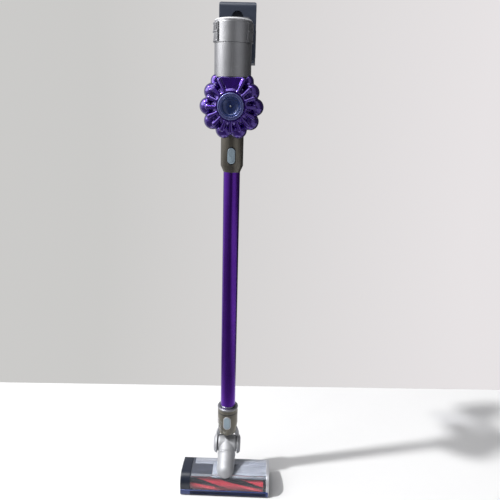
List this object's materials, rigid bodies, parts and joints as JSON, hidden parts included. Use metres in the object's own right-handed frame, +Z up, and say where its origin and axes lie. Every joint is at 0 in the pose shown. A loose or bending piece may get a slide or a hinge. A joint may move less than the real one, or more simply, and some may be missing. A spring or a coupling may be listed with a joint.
{
  "type": "cordless stick vacuum",
  "caption": "Cordless stick vacuum hanging in a wall charging dock, with ringed cyclones, a clear bin, a straight wand and a motorised floor head.",
  "frame": {"origin": "on the wall, midway between the dock's two screw holes on its back face", "axes": "+X to the viewer's right, +Y into the wall, +Z up along the wand"},
  "size_m": [0.206, 0.2382, 1.086],
  "materials": {
    "dock_plastic": "fine texture",
    "silver_plastic": "satin silver lacquer",
    "grey_plastic": "fine texture",
    "dark_plastic": "fine texture",
    "bronze_plastic": "satin bronze-grey lacquer",
    "purple_lacquer": "gloss",
    "purple_anodised": "anodised satin",
    "button_blue": "satin",
    "cap_blue": "gloss",
    "ring_blue": "satin metallic",
    "clear_plastic": "clear",
    "red_plastic": "gloss",
    "red_bristle": "bristle",
    "steel": "brushed",
    "copper": "wound wire",
    "gold_contact": "plated",
    "board": "solder mask",
    "cell_wrap": "film",
    "filter_felt": "felt",
    "lens": "diffusing",
    "seal_rubber": "matte"
  },
  "bodies": {
    "dock": {"dock_back": "dark_plastic", "dock_cover": "dock_plastic", "dock_cradle": "dock_plastic", "charge_plug": "dark_plastic", "dock_contacts": "gold_contact"},
    "cleaner": {"motor_housing": "silver_plastic", "exhaust_housing": "silver_plastic", "vent_grilles": "silver_plastic", "top_cap": "silver_plastic", "post_filter": "filter_felt", "filter_tray": "dark_plastic", "stator": "copper", "motor_cage": "grey_plastic", "bearings": "steel", "circuit_board": "board", "handle_left": "grey_plastic", "handle_right": "grey_plastic", "case_screws": "steel", "trigger_switch": "dark_plastic", "battery_case": "grey_plastic", "battery_cells": "cell_wrap", "battery_light": "lens", "charge_socket": "dark_plastic", "outer_cyclones": "purple_lacquer", "inner_cyclones": "purple_lacquer", "air_duct": "purple_lacquer", "shroud": "steel", "shroud_wiper": "seal_rubber", "power_spring": "steel", "trigger_spring": "steel"},
    "rotor": {"rotor_shaft": "steel", "impeller": "dark_plastic"},
    "power_button": {"power_button": "button_blue"},
    "trigger": {"trigger": "red_plastic"},
    "bin_release": {"bin_release": "red_plastic"},
    "filter": {"filter_cap": "cap_blue", "filter_ring": "ring_blue", "filter_element": "filter_felt"},
    "bin": {"bin_tube": "clear_plastic", "inlet_duct": "grey_plastic", "door_pin": "steel"},
    "bin_door": {"bin_door": "clear_plastic", "door_seal": "seal_rubber"},
    "wand": {"wand_tube": "purple_anodised", "wand_collar": "bronze_plastic", "wand_spigot": "grey_plastic"},
    "wand_button": {"wand_button": "button_blue"},
    "neck": {"neck_collar": "bronze_plastic"},
    "neck_button": {"neck_button": "button_blue"},
    "elbow": {"elbow": "silver_plastic"},
    "head": {"neck_bullet": "silver_plastic", "head_base": "dark_plastic", "left_end_cap": "dock_plastic", "right_end_cap": "clear_plastic", "head_window": "clear_plastic", "rear_duct": "silver_plastic", "brush_drive": "dark_plastic"},
    "brush": {"brush_core": "dark_plastic", "brush_bristles": "red_bristle"},
    "wheels": {"rear_wheels": "dark_plastic"}
  },
  "joints": [
    {"name": "lift_off", "type": "slide", "parent": "dock", "child": "cleaner", "axis": [0, 0, 1], "range_m": [0, 0.03]},
    {"name": "rotor_spin", "type": "hinge", "parent": "cleaner", "child": "rotor", "pos_m": [0, -0.17, -0.06], "axis": [0, 0, 1], "continuous": true},
    {"name": "power_press", "type": "slide", "parent": "cleaner", "child": "power_button", "axis": [0, 0, -1], "range_m": [0, 0.0015], "stiffness_N_per_m": 900, "deforming": ["power_spring"]},
    {"name": "trigger_pull", "type": "slide", "parent": "cleaner", "child": "trigger", "axis": [0, 0, 1], "range_m": [0, 0.0035], "stiffness_N_per_m": 900, "deforming": ["trigger_spring"]},
    {"name": "bin_release_press", "type": "slide", "parent": "cleaner", "child": "bin_release", "axis": [0, 0, -1], "range_m": [0, 0.003], "stiffness_N_per_m": 1200},
    {"name": "filter_lift", "type": "slide", "parent": "cleaner", "child": "filter", "axis": [0, -1, 0], "range_m": [0, 0.11]},
    {"name": "bin_slide", "type": "slide", "parent": "cleaner", "child": "bin", "axis": [0, 1, 0], "range_m": [0, 0.1]},
    {"name": "door_swing", "type": "hinge", "parent": "bin", "child": "bin_door", "pos_m": [0, -0.024, -0.197], "axis": [-1, 0, 0], "range_deg": [0, 95]},
    {"name": "wand_pull", "type": "slide", "parent": "bin", "child": "wand", "axis": [0, 0, -1], "range_m": [0, 0.056]},
    {"name": "wand_button_press", "type": "slide", "parent": "wand", "child": "wand_button", "axis": [0, 1, 0], "range_m": [0, 0.002], "stiffness_N_per_m": 1200},
    {"name": "neck_pull", "type": "slide", "parent": "wand", "child": "neck", "axis": [0, 0, -1], "range_m": [0, 0.04]},
    {"name": "neck_button_press", "type": "slide", "parent": "neck", "child": "neck_button", "axis": [0, 1, 0], "range_m": [0, 0.0018], "stiffness_N_per_m": 1200},
    {"name": "neck_tilt", "type": "hinge", "parent": "neck", "child": "elbow", "pos_m": [0, -0.15, -0.937], "axis": [1, 0, 0], "range_deg": [-8, 75]},
    {"name": "head_twist", "type": "hinge", "parent": "elbow", "child": "head", "pos_m": [0, -0.15, -0.937], "axis": [0, -0.8988, -0.4384], "range_deg": [-35, 35]},
    {"name": "brush_spin", "type": "hinge", "parent": "head", "child": "brush", "pos_m": [0, -0.212, -0.9945], "axis": [1, 0, 0], "continuous": true},
    {"name": "wheel_roll", "type": "hinge", "parent": "head", "child": "wheels", "pos_m": [0, -0.164, -1.0095], "axis": [1, 0, 0], "continuous": true}
  ]
}
